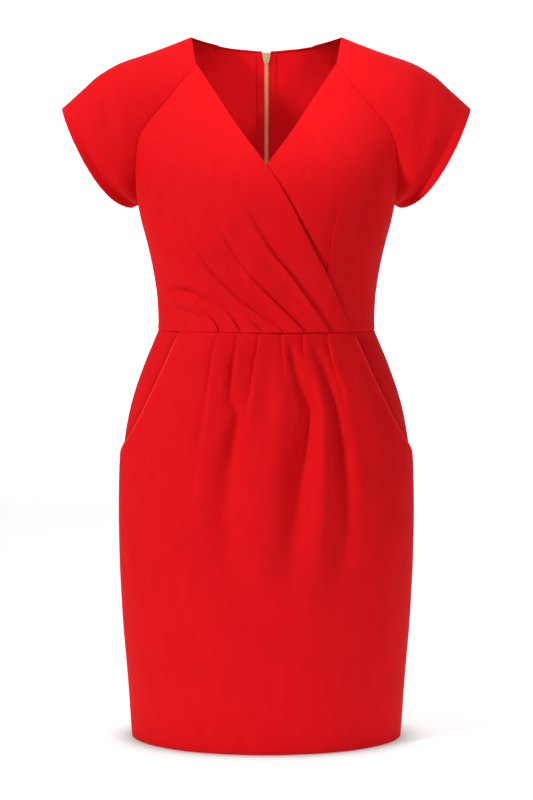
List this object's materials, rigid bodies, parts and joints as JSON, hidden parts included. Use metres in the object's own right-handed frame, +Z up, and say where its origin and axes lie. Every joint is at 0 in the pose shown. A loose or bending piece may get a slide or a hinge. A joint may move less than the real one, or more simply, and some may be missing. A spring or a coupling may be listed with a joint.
{
  "type": "fitted pleated dress",
  "caption": "Fitted knee-length dress with a wrap V-neck bodice, raglan cap sleeves, waist pleats, slant pockets and a centre-back zip.",
  "frame": {"origin": "midway between the two high shoulder points of the neck, where the dress hangs on the wearer", "axes": "+Z up from hem to neck, -Y out of the front, +X to the wearer's left"},
  "size_m": [0.53, 0.2615, 0.9153],
  "materials": {
    "crepe": "matt red crepe",
    "tape": "woven red zip tape",
    "zip_metal": "polished yellow brass"
  },
  "bodies": {
    "dress": {"bodice_front_right": "crepe", "bodice_front_left": "crepe", "bodice_back_right": "crepe", "bodice_back_left": "crepe", "sleeve_right": "crepe", "sleeve_left": "crepe", "skirt_front": "crepe", "skirt_back_right": "crepe", "skirt_back_left": "crepe", "hip_yoke_right": "crepe", "hip_yoke_left": "crepe", "zip_tape_right": "tape", "zip_tape_left": "tape", "zip_chain": "zip_metal", "zip_slider": "zip_metal"},
    "pull_tab": {"zip_pull": "zip_metal"}
  },
  "joints": [
    {"name": "pull_hinge", "type": "hinge", "parent": "dress", "child": "pull_tab", "pos_m": [0, 0.07573, -0.02018], "axis": [1, 0, 0], "range_deg": [0, 165]}
  ]
}
